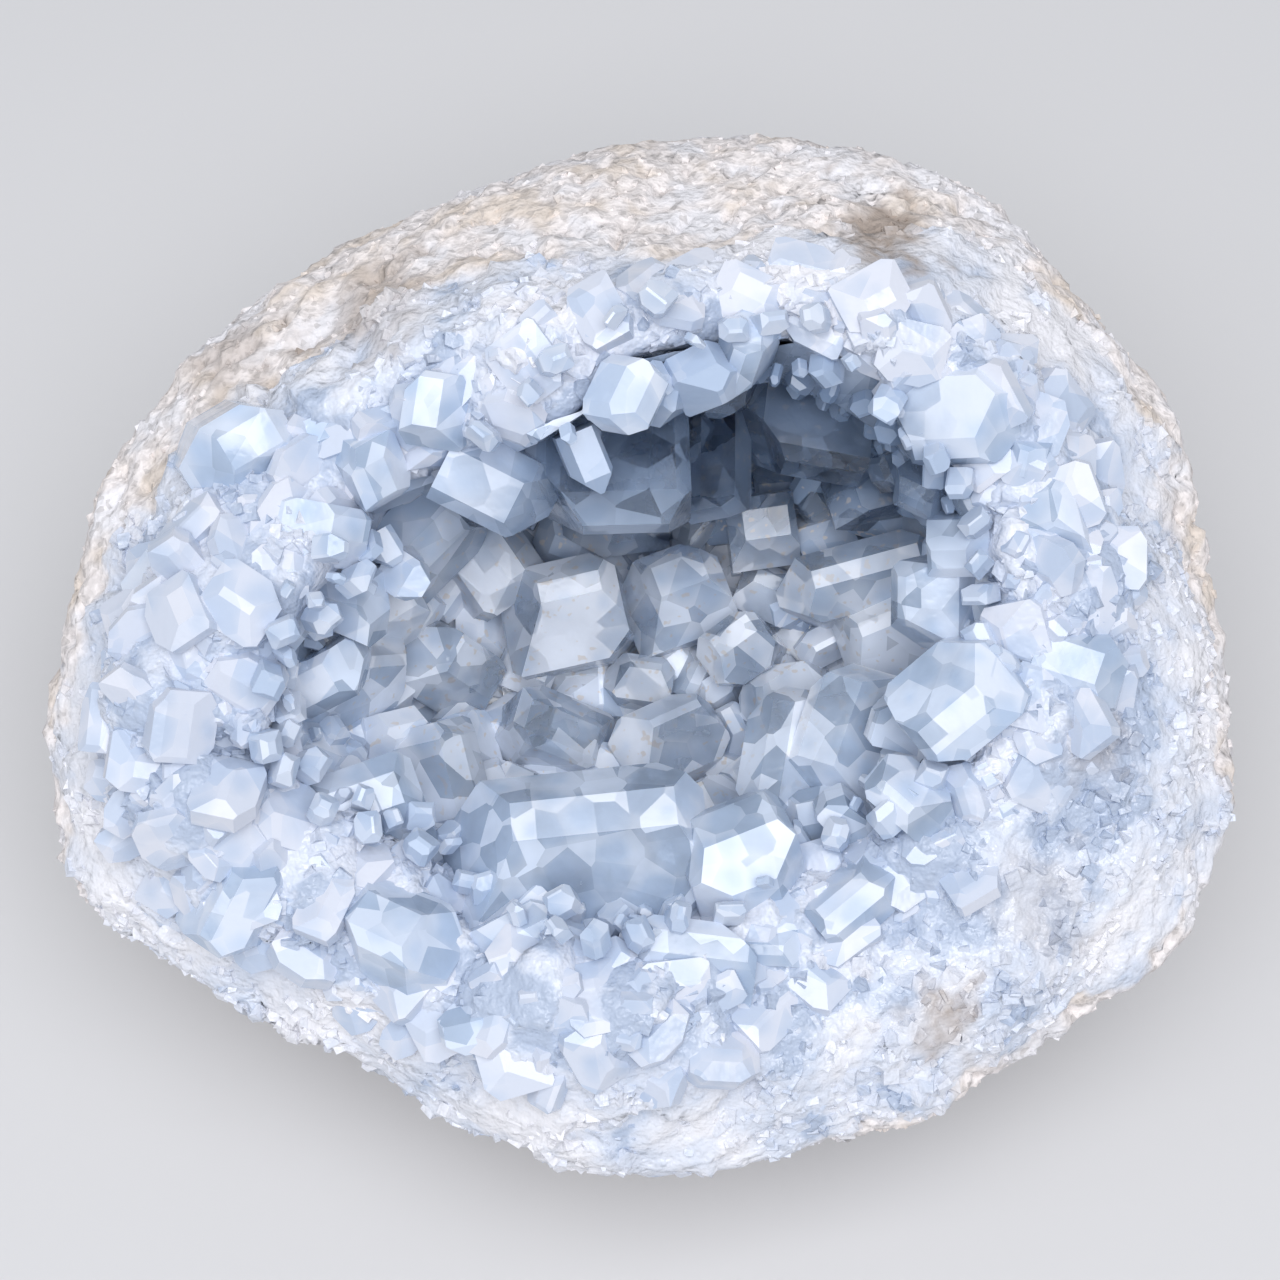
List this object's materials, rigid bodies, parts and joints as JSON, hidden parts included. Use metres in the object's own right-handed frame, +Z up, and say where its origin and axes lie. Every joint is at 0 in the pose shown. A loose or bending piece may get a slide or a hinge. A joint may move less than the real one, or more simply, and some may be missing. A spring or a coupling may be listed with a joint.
{
  "type": "celestite geode",
  "caption": "Rounded stone nodule broken open on one side, its deep hollow lined with blocky pale blue crystals; rests on a small flat spot.",
  "frame": {"origin": "on the resting surface, under the middle of the geode's box", "axes": "+X to the right as the broken face is looked at, along the longest side; +Y to the back, where the rim is highest; +Z up"},
  "size_m": [0.1015, 0.0911, 0.0653],
  "materials": {
    "geode_stone": "massive granular celestite, bluish white on the broken rim, beige and grey speckled rind outside, matt",
    "celestite": "translucent pale blue crystal, glassy faces with frosted and milky patches"
  },
  "bodies": {
    "root": {"geode_shell": "geode_stone", "crystal_crust": "celestite"}
  },
  "joints": []
}
